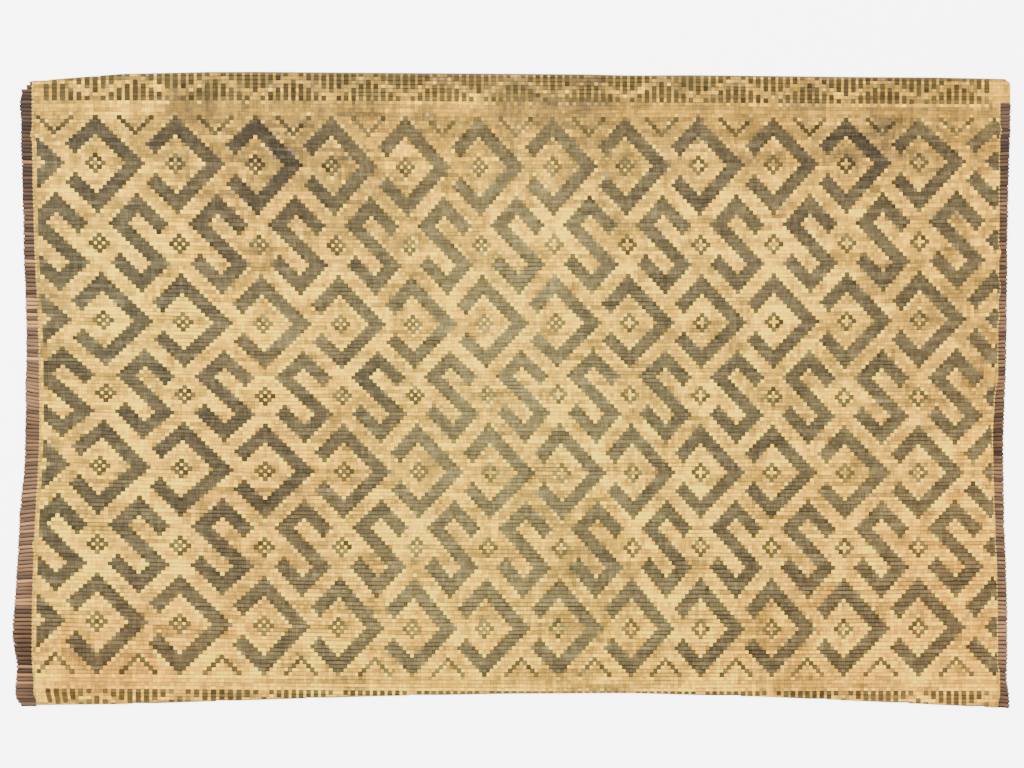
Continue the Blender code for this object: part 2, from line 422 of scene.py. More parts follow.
def mix_colour(tree, share, first, second, way="MIX", clamp=False):
    node = put_node(tree, "ShaderNodeMix", data_type="RGBA", blend_type=way, clamp_result=clamp)
    for socket, value in ((node.inputs[0], share), (node.inputs[6], first), (node.inputs[7], second)):
        if isinstance(value, bpy.types.NodeSocket):
            tree.links.new(value, socket)
        else:
            socket.default_value = value
    return node.outputs[2]


def grey(tree, value):
    return put_node(tree, "ShaderNodeCombineColor",
                    {"Red": value, "Green": value, "Blue": value}).outputs[0]


def pulled(tree, value, powers):
    """The value as a colour, with a power of its own for red, green and blue."""
    parts = {}
    for part, power in zip(("Red", "Green", "Blue"), powers):
        parts[part] = put_node(tree, "ShaderNodeMath", {0: value, 1: power},
                               operation="POWER").outputs[0]
    return put_node(tree, "ShaderNodeCombineColor", parts).outputs[0]


def read_mark(tree, name):
    return put_node(tree, "ShaderNodeAttribute", attribute_name=name).outputs["Fac"]


def new_finish(name, roughness, specular):
    material = bpy.data.materials.new(name)
    material.use_nodes = True
    shader = material.node_tree.nodes["Principled BSDF"]
    shader.inputs["Roughness"].default_value = roughness
    shader.inputs["Specular IOR Level"].default_value = specular
    place = put_node(material.node_tree, "ShaderNodeTexCoord").outputs["Object"]
    return material, material.node_tree, shader, place


def add_bump(tree, shader, height, distance):
    bump = put_node(tree, "ShaderNodeBump",
                    {"Height": height, "Distance": distance, "Strength": 0.6})
    tree.links.new(bump.outputs[0], shader.inputs["Normal"])


def reed_rind(name, sunlit, shaded, spread):
    """Smooth rind with fine streaks along the reed, a tone of its own for each reed."""
    material, tree, shader, place = new_finish(name, 0.55, 0.08)
    streaks = noise(tree, place, (6, 420, 60), 4.0)
    blotches = noise(tree, place, (1, 1, 1), 3.0, 5.5)
    patchy = remap(tree, blotches, 0.3, 0.7, 0.0, 1.0)
    rind = mix_colour(tree, patchy, shaded, sunlit)
    own = put_node(tree, "ShaderNodeMath", {0: read_mark(tree, "reed_tone"), 1: spread, 2: 1.0},
                   operation="MULTIPLY_ADD").outputs[0]
    rind = mix_colour(tree, 1.0, rind, pulled(tree, own, (1.0, 0.9, 0.65)), "MULTIPLY")
    streaky = grey(tree, remap(tree, streaks, 0.3, 0.7, 0.84, 1.14))
    rind = mix_colour(tree, 1.0, rind, streaky, "MULTIPLY")
    tree.links.new(rind, shader.inputs["Base Color"])
    add_bump(tree, shader, streaks, 0.15 * MM)
    return material


reed_scatter = np.random.default_rng(REED_SEED)
reed_tone = reed_scatter.uniform(-1, 1, cell_shape[1])
reed_rise = reed_scatter.uniform(-1, 1, cell_shape[1]) * REED_RISE_SCATTER
line_points = []
line_edges = []
for reed in range(FIRST_REED, LAST_REED + 1):
    last = (FLAP_LAST_STRIP if reed <= FLAP_LAST_REED else LAST_STRIP) + 0.5
    places = np.linspace(FIRST_STRIP - 0.5, last, REED_STEPS + 1)
    far, near = reed_edges(places, np.full(len(places), float(reed)))
    whole = far - near > NARROWEST_REED * usual_pitch
    before = False
    for place, kept in zip(places, whole):
        if kept:
            if before:
                line_edges.append((len(line_points) - 1, len(line_points)))
            line_points.append((place, -reed, 0.0))
        before = kept

rods = rod_tree()
field_rind = reed_rind("field reed rind", (0.20, 0.110, 0.070, 1), (0.085, 0.045, 0.030, 1), 0.2)
mesh = grow("field_reeds", line_points, line_edges, {}, rods,
            **{"Half Width": REED_HALF_WIDTH, "Half Height": REED_HALF_HEIGHT,
               "Sides": REED_SIDES, "Material": field_rind})
places = mesh_places(mesh)
x, y = lay(places[:, 0], -places[:, 1])
mark_faces(mesh, "reed_tone", reed_tone[reed_index(face_middles(mesh))])
set_places(mesh, x, y, places[:, 2] + REED_MIDDLE + reed_rise[reed_index(places)])
field_reeds = show_piece("field_reeds", mesh, "split_reed", "woven_field")


# Raffia strips on the face
# Flat ribbons of dried palm leaf lie edge to edge over the reeds. Each dips a little between two
# reeds, turns down where it passes behind, and wraps round the outermost reed at both long edges.
STRIP_WIDTH = 0.995
STRIP_CREST = 3.40 * MM
STRIP_CROWN = 0.18 * MM
STRIP_DIP = 0.45 * MM
STRIP_TURN_DOWN = 0.85 * MM
STRIP_LOWEST = 0.3 * MM
EDGE_WRAP = 3.6
END_SCATTER = 0.40
PALEST = (1.0, 0.63, 0.070, 1)
STRIP_SEED = 11

# A dyed strip with no dyed neighbour spreads wider than its place and rides over the plain ones
LONE_SPREAD = 0.30
LONE_LIFT = 0.22 * MM
LONE_TONE = 1.30

# Soft stains and bleached places on the face, in millimetres: middle X, middle Y, half width,
# half height, and how much lighter the strips are there, as a power of e
STAINS = (
    (0, 475, 1500, 95, -0.34),
    (60, 556, 620, 16, -0.45),
    (-39, 520, 620, 45, -0.30),
    (-573, 507, 45, 45, -0.45),
    (-419, 431, 85, 80, -0.38),
    (-327, 359, 260, 150, -0.32),
    (123, 476, 90, 80, -0.36),
    (206, 332, 54, 72, -0.34),
    (690, 485, 210, 110, -0.46),
    (760, 233, 150, 200, -0.30),
    (-460, -199, 63, 40, -0.50),
    (123, -312, 63, 54, -0.42),
    (820, 4, 50, 60, -0.32),
    (778, -415, 90, 63, -0.30),
    (451, -404, 54, 72, -0.26),
    (-696, -480, 120, 50, -0.20),
    (-849, 179, 24, 220, -0.34),
    (-725, -522, 60, 30, -0.22),
    (-714, 377, 90, 120, 0.18),
    (-471, 129, 340, 38, 0.20),
    (-651, -91, 81, 200, 0.22),
    (62, 271, 72, 100, 0.24),
    (462, 224, 135, 100, 0.24),
    (145, -57, 72, 80, 0.18),
    (-183, -325, 63, 135, 0.22),
    (636, -240, 30, 110, 0.15),
    (348, -282, 45, 90, 0.12),
    (-660, -420, 260, 140, 0.10),
    (740, -440, 260, 120, 0.12),
)
DYED_STAIN_SHARE = 0.4

# Where the dye has faded most and least, laid out in the same way
FADED = (
    (-39, 251, 200, 215, 0.50),
    (6, -55, 235, 215, 0.55),
    (6, -361, 325, 160, 0.50),
    (-426, 87, 110, 72, 0.28),
    (6, 485, 235, 108, 0.22),
    (627, -199, 110, 110, 0.16),
    (-732, 476, 110, 80, -0.25),
    (-426, 435, 80, 72, -0.32),
    (620, 435, 90, 80, -0.30),
    (-240, 26, 72, 90, -0.25),
    (168, -303, 63, 54, -0.25),
    (-453, -145, 180, 108, -0.10),
    (-690, 60, 220, 420, -0.10),
    (760, -160, 220, 420, 0.18),
    (790, 480, 200, 34, 0.45),
    (0, -440, 900, 34, 0.15),
)

# Where the sun has turned the palm fibre orange, laid out in the same way
REDDENED = (
    (-690, -480, 240, 100, 0.55),
    (-735, -520, 150, 60, 0.40),
    (0, 500, 900, 90, 0.20),
    (807, -451, 414, 324, 0.75),
    (879, 161, 144, 468, 0.40),
    (555, 341, 234, 270, 0.25),
    (-435, -235, 198, 234, 0.28),
    (-471, 296, 144, 126, 0.18),
    (-705, 179, 90, 144, -0.25),
    (33, -73, 288, 270, -0.22),
)

# Where dirt and painted shade lie thickest in the grooves between the reeds, laid out in the same way
GROOVE_DUST_AND_SHADE = (
    (60, 545, 700, 20, 0.45),
    (0, -60, 1200, 260, 0.12),
    (0, 400, 1200, 110, -0.14),
    (0, -430, 1100, 200, 0.34),
    (740, -330, 300, 260, 0.10),
)

# Random changes of tone, as a power of e: seed, run in strips, run in reeds, strength
PLAIN_PATCHES = (
    (21, 16, 1, 0.36), (22, 1, 12, 0.10), (36, 5, 1, 0.20), (23, 7, 5, 0.36), (24, 2, 3, 0.34),
)
DYED_PATCHES = (
    (32, 16, 1, 0.24), (33, 1, 10, 0.08), (34, 6, 4, 0.12), (35, 3, 1, 0.18),
)
PLAIN_CELL_SCATTER = 0.27
DYED_CELL_SCATTER = 0.18

# Random changes of colour, and of dirt with painted shade in the grooves, from 0 to 1, laid out in
# the same way
BLEACHED_PATCHES = ((25, 12, 10, 0.35), (26, 1, 7, 0.20))
FADED_PATCHES = ((27, 8, 6, 0.10), (28, 1, 8, 0.08))
REDDENED_PATCHES = ((29, 6, 6, 0.10),)
GROOVE_DUST_AND_SHADE_PATCHES = ((30, 18, 1, 0.34), (31, 4, 3, 0.30))
BLEACHED_USUAL, FADED_USUAL, REDDENED_USUAL, GROOVE_DUST_AND_SHADE_USUAL = 0.5, 0.22, 0.28, 0.33

# Reeds that were put in later, with a pale rind that shows at the left side
NEW_REEDS = (0, 25, 35, 36, 37, 39, 41, 42, 51, 110, 115, 116, 131, 133, 135)
NEW_REED_SHOWS_TO = 6
NEW_REED_SHOWS = 1.4


def soft_patches(seed, strip_run, reed_run):
    """Softly changing random field over the cells, from -1 to 1, in patches of the given size."""
    scatter = np.random.default_rng(seed)
    counts = (cell_shape[0] // strip_run + 3, cell_shape[1] // reed_run + 3)
    coarse = scatter.uniform(-1, 1, counts)
    across = np.arange(cell_shape[0]) / strip_run
    along = np.arange(cell_shape[1]) / reed_run
    rows = np.array([np.interp(across, np.arange(counts[0]), line) for line in coarse.T])
    return np.array([np.interp(along, np.arange(counts[1]), line) for line in rows.T])


def sum_of_patches(rows):
    """Several of these fields, each from its seed and run, added in its strength."""
    return sum(strength * soft_patches(seed, strip_run, reed_run)
               for seed, strip_run, reed_run, strength in rows)


def soft_spots(spots):
    """Sum of soft-edged spots, read at the middle of each cell."""
    total = np.zeros(cell_shape)
    for x, y, half_width, half_height, strength in spots:
        away = ((cell_x / MM - x) / half_width) ** 2 + ((cell_y / MM - y) / half_height) ** 2
        total += strength * np.exp(-away)
    return total


def float_tree():
    """Crowned ribbon over each reed that a strip crosses, joined to the next where it goes on."""
    tree, size = new_tree("strips over reeds", (
        ("Width", "NodeSocketFloat"), ("Crest", "NodeSocketFloat"), ("Crown", "NodeSocketFloat"),
        ("Dip", "NodeSocketFloat"), ("Turn Down", "NodeSocketFloat"),
        ("Lone Spread", "NodeSocketFloat"), ("Lone Lift", "NodeSocketFloat")))

    def work(operation, first, second=0.0):
        return put_node(tree, "ShaderNodeMath", {0: first, 1: second},
                        operation=operation).outputs[0]

    def mark(name):
        return put_node(tree, "GeometryNodeInputNamedAttribute", {"Name": name},
                        data_type="FLOAT").outputs[0]

    ribbon = put_node(tree, "GeometryNodeJoinGeometry")
    face = put_node(tree, "GeometryNodeMeshGrid",
                    {"Size X": size["Width"], "Size Y": 1.0, "Vertices X": 3, "Vertices Y": 3})
    back = put_node(tree, "GeometryNodeMeshGrid",
                    {"Size X": size["Width"], "Size Y": 1.0, "Vertices X": 2, "Vertices Y": 3})
    turned = put_node(tree, "GeometryNodeFlipFaces", {"Mesh": back.outputs[0]})
    tree.links.new(face.outputs[0], ribbon.inputs[0])
    tree.links.new(turned.outputs[0], ribbon.inputs[0])
    own_place = put_node(tree, "GeometryNodeInputPosition").outputs[0]
    parts = put_node(tree, "ShaderNodeSeparateXYZ", {"Vector": own_place})
    half_width = work("MULTIPLY", size["Width"], 0.5)
    side = work("ABSOLUTE", work("DIVIDE", parts.outputs["X"], half_width))
    groove = work("ABSOLUTE", work("MULTIPLY", parts.outputs["Y"], 2.0))
    kept = ribbon.outputs[0]
    for name, value in (("side", side), ("groove", groove), ("along", parts.outputs["Y"]),
                        ("across", parts.outputs["X"])):
        kept = put_node(tree, "GeometryNodeStoreNamedAttribute",
                        {"Geometry": kept, "Name": name, "Value": value},
                        data_type="FLOAT", domain="POINT").outputs[0]
    copies = put_node(tree, "GeometryNodeInstanceOnPoints",
                      {"Points": size["Geometry"], "Instance": kept})
    real = put_node(tree, "GeometryNodeRealizeInstances", {"Geometry": copies.outputs[0]})

    crown = work("SUBTRACT", size["Crown"],
                 work("MULTIPLY", size["Crown"], work("MULTIPLY", mark("side"), mark("side"))))
    deeper = work("SUBTRACT", size["Turn Down"], size["Dip"])
    height = work("ADD", size["Crest"], crown)
    height = work("ADD", height, work("MULTIPLY", mark("lone"), size["Lone Lift"]))
    spread = work("MULTIPLY", mark("lone"), size["Lone Spread"])
    longer = 0.0
    for end, way in (("ends_far", 2.0), ("ends_near", -2.0)):
        reach = work("MAXIMUM", work("MULTIPLY", mark("along"), way), 0.0)
        drop = work("ADD", size["Dip"], work("MULTIPLY", mark(end), deeper))
        height = work("SUBTRACT", height, work("MULTIPLY", reach, drop))
        past = work("MULTIPLY", work("MINIMUM", mark(end), 1.0), work("MULTIPLY", reach, way / 4))
        longer = work("ADD", past, longer)
    lift = put_node(tree, "ShaderNodeCombineXYZ",
                    {"X": work("MULTIPLY", mark("across"), spread),
                     "Y": work("MULTIPLY", longer, spread), "Z": height})
    lifted = put_node(tree, "GeometryNodeSetPosition",
                      {"Geometry": real.outputs[0], "Offset": lift.outputs[0]})
    joined = put_node(tree, "GeometryNodeMergeByDistance",
                      {"Geometry": lifted.outputs[0], "Distance": 0.00002})
    return end_tree(tree, joined.outputs[0], size["Material"])


def times(tree, colour, value):
    return mix_colour(tree, 1.0, colour, value, "MULTIPLY", True)


def palm_fibre(name, first, second, painted_end_light_tint, reddened, powers, line_depth, line_powers):
    """Dry palm leaf: fine fibres along the strip, dirt and painted shade in the grooves and along the
    strip edges, a painted highlight or shade where a strip turns down, a tone for each cell.
    """
    material, tree, shader, place = new_finish(name, 0.65, 0.06)
    fibre = mix_colour(tree, read_mark(tree, "bleached"), first, second)
    # The tint at run ends is a painted highlight on plain strips and a painted shade on dyed ones.
    for mark, tint in (("reddened", reddened), ("strip_end", painted_end_light_tint)):
        fibre = times(tree, fibre, mix_colour(tree, read_mark(tree, mark), (1, 1, 1, 1), tint))
    fibre = times(tree, fibre, pulled(tree, read_mark(tree, "tone"), powers))
    threads = noise(tree, place, (1700, 60, 1), 2.0)
    for grain, depth in ((noise(tree, place, (38, 38, 1), 2.0), 0.08), (threads, 0.09),
                         (noise(tree, place, (520, 40, 1), 2.0), 0.16),
                         (noise(tree, place, (26, 330, 1), 2.0), 0.15),
                         (noise(tree, place, (340, 300, 1), 2.0), 0.12)):
        fibre = times(tree, fibre, grey(tree, remap(tree, grain, 0.38, 0.62, 1 - depth, 1 + depth)))
    fibre = mix_colour(tree, 1.0, fibre, PALEST, "DARKEN")
    dust = read_mark(tree, "dust")
    # Dirt and painted shade darken the grooves between reeds and, more faintly, the edges between
    # strips.
    for mark, start, share in (("groove", 0.52, 1.0), ("side", 0.66, 0.15)):
        line = remap(tree, read_mark(tree, mark), start, 1.0, 0.0, 1.0)
        depth = remap(tree, dust, 0.0, 1.0, 0.0, line_depth * share)
        shade = put_node(tree, "ShaderNodeMath", {0: line, 1: depth}, operation="MULTIPLY")
        left = put_node(tree, "ShaderNodeMath", {0: 1.0, 1: shade.outputs[0]}, operation="SUBTRACT")
        fibre = times(tree, fibre, pulled(tree, left.outputs[0], line_powers))
    tree.links.new(fibre, shader.inputs["Base Color"])
    add_bump(tree, shader, threads, 0.10 * MM)
    return material


def mark_cells(mesh, **marks):
    """Gives each face the values of the cell that it lies in."""
    middles = face_middles(mesh)
    cell = (strip_index(middles), reed_index(middles))
    for mark, values in marks.items():
        mark_faces(mesh, mark, values[cell])


def strip_ends(on_face):
    """1 where a strip turns down at its far and near end, more where it wraps the last reed."""
    padded = np.pad(on_face, ((0, 0), (1, 1)))
    mat = np.pad(held, ((0, 0), (1, 1)))
    far = (on_face & ~padded[:, :-2]).astype(float)
    near = (on_face & ~padded[:, 2:]).astype(float)
    far[on_face & ~mat[:, :-2]] = EDGE_WRAP
    near[on_face & ~mat[:, 2:]] = EDGE_WRAP
    return far, near


def stands_alone(on_face):
    """True where neither strip beside lies on the face."""
    padded = np.pad(on_face, ((1, 1), (0, 0)))
    return on_face & ~padded[:-2] & ~padded[2:]


strip_scatter = np.random.default_rng(STRIP_SEED)
stains = soft_spots(STAINS)
plain_tone = np.exp(stains + sum_of_patches(PLAIN_PATCHES)
                    + PLAIN_CELL_SCATTER * strip_scatter.uniform(-1, 1, cell_shape))
dyed_tone = np.exp(DYED_STAIN_SHARE * stains + sum_of_patches(DYED_PATCHES)
                   + DYED_CELL_SCATTER * strip_scatter.uniform(-1, 1, cell_shape))
bleached = np.clip(BLEACHED_USUAL + sum_of_patches(BLEACHED_PATCHES), 0, 1)
faded = np.clip(FADED_USUAL + soft_spots(FADED) + sum_of_patches(FADED_PATCHES), 0, 1)
reddened = np.clip(REDDENED_USUAL + soft_spots(REDDENED) + sum_of_patches(REDDENED_PATCHES), 0, 1)
dust = np.clip(GROOVE_DUST_AND_SHADE_USUAL + soft_spots(GROOVE_DUST_AND_SHADE) + sum_of_patches(GROOVE_DUST_AND_SHADE_PATCHES), 0, 1)
for reed in NEW_REEDS:
    for tone in (plain_tone, dyed_tone):
        tone[:NEW_REED_SHOWS_TO - FIRST_STRIP, reed - FIRST_REED] *= NEW_REED_SHOWS

floats = float_tree()
# The fourth colour is the run-end tint: a painted highlight for plain strips, a painted shade for
# dyed strips.
plain_palm = palm_fibre("sun-bleached raffia", (0.54, 0.305, 0.020, 1), (0.625, 0.362, 0.029, 1),
                        (2.00, 2.10, 2.40, 1), (1.10, 0.89, 0.95, 1), (1.12, 1.0, -0.1), 0.85,
                        (1.0, 0.93, 0.15))
dyed_palm = palm_fibre("dark-dyed raffia", (0.057, 0.047, 0.026, 1), (0.162, 0.130, 0.050, 1),
                       (0.80, 0.74, 0.50, 1), (1.14, 0.96, 0.88, 1), (1.0, 1.0, 0.9), 1.0,
                       (1.0, 0.98, 0.85))
middle_strip = (FIRST_STRIP + LAST_STRIP) // 2
for kind, on_face, fibre, tone, leaning, usual, alone in (
    ("plain", plain_on_face, plain_palm, plain_tone, bleached, (-0.5, 0.9), (0.3, 1.0)),
    ("dyed", dyed_on_face, dyed_palm, dyed_tone, faded, (-0.4, 0.9), (0.7, 1.2)),
):
    ends_far, ends_near = strip_ends(on_face)
    at_end = np.maximum(ends_far, ends_near) == 1
    # How much of the painted end highlight or shade each cell gets, more where it stands alone.
    strip_end = at_end * strip_scatter.uniform(*usual, cell_shape)
    lone = stands_alone(on_face) & (at_end | (kind == "dyed"))
    strip_end = np.where(lone, strip_scatter.uniform(*alone, cell_shape), strip_end)
    tone = tone * np.exp(END_SCATTER * at_end * strip_scatter.uniform(-1, 1, cell_shape))
    spreads = lone & (kind == "dyed") & (strips > FIRST_STRIP + 1) & (strips < LAST_STRIP - 1)
    tone = tone * np.where(spreads, LONE_TONE, 1.0)
    for side_name, wanted in (("left", strips <= middle_strip), ("right", strips > middle_strip)):
        chosen = np.argwhere(on_face & wanted)
        points = np.column_stack((chosen[:, 0] + FIRST_STRIP, -(chosen[:, 1] + FIRST_REED),
                                  np.zeros(len(chosen))))
        marks = {"ends_far": ends_far[tuple(chosen.T)], "ends_near": ends_near[tuple(chosen.T)],
                 "lone": spreads[tuple(chosen.T)]}
        name = kind + "_strips_" + side_name
        mesh = grow(name, points, (), marks, floats,
                    **{"Width": STRIP_WIDTH, "Crest": STRIP_CREST, "Crown": STRIP_CROWN,
                       "Dip": STRIP_DIP, "Turn Down": STRIP_TURN_DOWN, "Lone Spread": LONE_SPREAD,
                       "Lone Lift": LONE_LIFT, "Material": fibre})
        bm = bmesh.new()
        bm.from_mesh(mesh)
        bmesh.ops.holes_fill(bm, edges=[edge for edge in bm.edges if edge.is_boundary], sides=4)
        bm.to_mesh(mesh)
        bm.free()
        mark_cells(mesh, tone=tone, bleached=leaning, reddened=reddened, strip_end=strip_end,
                   dust=dust)
        places = mesh_places(mesh)
        x, y = lay(places[:, 0], -places[:, 1])
        height = places[:, 2] + reed_rise[reed_index(places)]
        set_places(mesh, x, y, np.maximum(height, STRIP_LOWEST))
        show_piece(name, mesh, "woven_raffia", "woven_field")


# Raffia strips on the underside
# Behind the reeds run the strips that aren't on the face, so that the underside shows the same
# figure the other way round. They are flat here, since the mat's weight presses them to the floor.
BACK_HALF_WIDTH = 0.47
BACK_HALF_HEIGHT = 0.2 * MM
for kind, on_back, fibre, tone, leaning in (
    ("plain", dyed_on_face, plain_palm, plain_tone, bleached),
    ("dyed", plain_on_face, dyed_palm, dyed_tone, faded),
):
    line_points = []
    line_edges = []
    for column in range(cell_shape[0]):
        turns = np.flatnonzero(np.diff(np.pad(on_back[column].astype(int), 1)))
        for first, last in zip(turns[::2], turns[1::2]):
            for place in (first + FIRST_REED - 0.5, last + FIRST_REED - 0.5):
                line_points.append((column + FIRST_STRIP, -place, 0.0))
            line_edges.append((len(line_points) - 2, len(line_points) - 1))
    name = kind + "_strips_underside"
    mesh = grow(name, line_points, line_edges, {}, rods,
                **{"Half Width": BACK_HALF_WIDTH, "Half Height": BACK_HALF_HEIGHT,
                   "Sides": 4, "Material": fibre})
    mark_cells(mesh, tone=tone, bleached=leaning, reddened=reddened, strip_end=0 * dust, dust=dust)
    places = mesh_places(mesh)
    x, y = lay(places[:, 0], -places[:, 1])
    set_places(mesh, x, y, places[:, 2] + BACK_HALF_HEIGHT)
    show_piece(name, mesh, "woven_raffia", "woven_field")


# Bare reed ends
# Past the last strip the reeds stick out bare by 13 to 30 mm, cut by knife and never quite even.
# Between the broad ones lie thin near-black rods, lower down: painted shadow that fills the dark gaps
# between the ends.
END_HALF_WIDTH = 2.75 * MM
END_HALF_HEIGHT = 1.35 * MM
# Near-black rods between the ends, painted shadow for the gaps
GAP_SHADOW_HALF_WIDTH = 2.3 * MM
GAP_SHADOW_HALF_HEIGHT = 0.8 * MM
END_SIDES = 8
END_LENGTH_SCATTER = 0.9 * MM
END_SLANT_REEDS = (45, 60, 66, 74, 125, 139)
LEFT_END_RISE = (0.0, 4.5, 4.0, 0.0, 0.0, 0.0)
RIGHT_END_RISE = (0.0, 1.0, 1.5, 0.0, -1.0, -2.0)

# Short reeds left at the far left corner: reed number, then how far it sticks out in millimetres
CORNER_ENDS = ((-21, 4), (-20, 10))

# The near left corner is rounded off over the last three reeds
CORNER_ROUNDED_FROM = 138
CORNER_ROUNDING = 9 * MM
END_SEEDS = {"left": 31, "right": 32}
END_TONES = (-1.0, -0.5, -0.2, 0.1, 0.5, 1.0)
NEW_REED_TONE = 3.2

# How much darker the ends are, at places along Y in millimetres, most towards the far edge
END_DARKENING_PLACES = (-560, -450, -250, 0, 200, 290, 380, 450, 540)
LEFT_END_DARKENING = (0.1, 0.0, 0.0, 0.2, 0.6, 0.9, 1.0, 1.1, 1.2)
RIGHT_END_DARKENING = (0.2, 0.0, -0.2, 0.0, 0.0, 0.1, 0.6, 1.1, 1.2)

end_rind = reed_rind("bare reed rind", (0.22, 0.120, 0.062, 1), (0.062, 0.034, 0.018, 1), 0.50)
# Near-black rind for the rods between the ends: painted shadow
gap_shadow_rind = reed_rind("painted gap shadow", (0.030, 0.015, 0.008, 1), (0.018, 0.009, 0.005, 1), 0.2)
for side_name, side, first, strip_side, tips, roots, rises, darkening in (
    ("left", -1, -19, FIRST_STRIP - 0.5, left_tips, left_roots, LEFT_END_RISE, LEFT_END_DARKENING),
    ("right", 1, FLAP_LAST_REED + 1, LAST_STRIP + 0.5, right_tips, right_roots, RIGHT_END_RISE,
     RIGHT_END_DARKENING),
):
    scatter = np.random.default_rng(END_SEEDS[side_name])
    numbers = np.arange(first, LAST_REED + 1)
    far, near = reed_edges(np.full(len(numbers), strip_side), numbers.astype(float))
    kept = far - near > 0.5 * usual_pitch
    ends = [(number, 0.5 * (a + b), a - b, None) for number, a, b in
            zip(numbers[kept], far[kept], near[kept])]
    if side < 0:
        for number, length in CORNER_ENDS:
            far, near = reed_edges(np.array([strip_side]), np.array([float(number)]))
            ends.insert(0, (number, 0.5 * float(far[0] + near[0]), usual_pitch, length * MM))
        ends.sort()
    for kind, half_width, half_height, finish, shift, middle, bend in (
        ("reed", END_HALF_WIDTH, END_HALF_HEIGHT, end_rind, 0.0, REED_MIDDLE, 0.9 * MM),
        ("gap_shadow", GAP_SHADOW_HALF_WIDTH, GAP_SHADOW_HALF_HEIGHT, gap_shadow_rind, -0.5, 1.1 * MM,
         0.4 * MM),
    ):
        line_points = []
        line_edges = []
        tones = []
        number, y, pitch, length = ends[0]
        beyond = [(number - 1, y + pitch, pitch, length)] if shift and side > 0 else []
        for number, y, pitch, length in beyond + ends:
            y = y + shift * pitch
            root = float(np.interp(y, *roots)) - side * 0.2 * MM
            tip = float(np.interp(y, *tips)) - side * scatter.uniform(0, END_LENGTH_SCATTER)
            if length is not None:
                tip = root + side * length
            if side < 0:
                tip += CORNER_ROUNDING * max(0.0, (number - CORNER_ROUNDED_FROM) / 3) ** 2
            if kind == "gap_shadow":
                tip -= side * scatter.uniform(0.2, 1.6) * MM
            rise = smooth_between(END_SLANT_REEDS, rises, number) * MM
            stray = scatter.uniform(-bend, bend)
            for step in range(5):
                share = step / 4
                line_points.append((root + share * (tip - root),
                                    y + rise * share ** 1.5 + stray * share,
                                    middle - 0.3 * MM * share))
                if step:
                    line_edges.append((len(line_points) - 2, len(line_points) - 1))
            darker = np.interp(y / MM, END_DARKENING_PLACES, darkening)
            tone = max(scatter.choice(END_TONES) * (1 - 0.5 * darker) - darker, -2.0)
            tones.append(NEW_REED_TONE if side < 0 and number in NEW_REEDS else tone)
        name = kind + "_ends_bare_" + side_name
        mesh = grow(name, line_points, line_edges, {}, rods,
                    **{"Half Width": half_width, "Half Height": half_height,
                       "Sides": END_SIDES, "Material": finish})
        middles = face_middles(mesh)
        line_middles = np.array(line_points)[2::5, 1]
        nearest = np.abs(middles[:, 1][:, None] - line_middles[None, :]).argmin(axis=1)
        mark_faces(mesh, "reed_tone", np.array(tones)[nearest])
        show_piece(name, mesh, "split_reed", "reed_ends_" + side_name)


# Twined selvedge
# Two raffia strands twist round each other down both short sides and trap one reed in every
# half turn. They are knotted off at the corners and keep the last strip from sliding away.
STITCH_LENGTH = 4.2 * MM
STITCH_THICK = 1.05 * MM
STITCH_RISE = 0.55 * MM
STITCH_SLANT = 0.26
TWINE_SEED = 41


def stitch_tree():
    """Short arched stitch on each point, turned by the point's slant."""
    tree, size = new_tree("stitches on points", (
        ("Length", "NodeSocketFloat"), ("Thick", "NodeSocketFloat"), ("Rise", "NodeSocketFloat")))
    half = put_node(tree, "ShaderNodeMath", {0: size["Length"], 1: 0.5}, operation="MULTIPLY")
    back = put_node(tree, "ShaderNodeMath", {0: size["Length"], 1: -0.5}, operation="MULTIPLY")
    start = put_node(tree, "ShaderNodeCombineXYZ", {"Y": back.outputs[0]})
    end = put_node(tree, "ShaderNodeCombineXYZ", {"Y": half.outputs[0]})
    double_rise = put_node(tree, "ShaderNodeMath", {0: size["Rise"], 1: 2.0}, operation="MULTIPLY")
    top = put_node(tree, "ShaderNodeCombineXYZ", {"Z": double_rise.outputs[0]})
    arch = put_node(tree, "GeometryNodeCurveQuadraticBezier",
                    {"Resolution": 6, "Start": start.outputs[0], "Middle": top.outputs[0],
                     "End": end.outputs[0]})
    ring = put_node(tree, "GeometryNodeCurvePrimitiveCircle", {"Resolution": 6})
    tree.links.new(size["Thick"], ring.inputs["Radius"])
    stitch = put_node(tree, "GeometryNodeCurveToMesh",
                      {"Curve": arch.outputs[0], "Profile Curve": ring.outputs[0],
                       "Fill Caps": True})
    slant = put_node(tree, "GeometryNodeInputNamedAttribute", {"Name": "slant"}, data_type="FLOAT")
    turn = put_node(tree, "ShaderNodeCombineXYZ", {"Z": slant.outputs[0]})
    copies = put_node(tree, "GeometryNodeInstanceOnPoints",
                      {"Points": size["Geometry"], "Instance": stitch.outputs[0],
                       "Rotation": turn.outputs[0]})
    return end_tree(tree, copies.outputs[0], size["Material"])


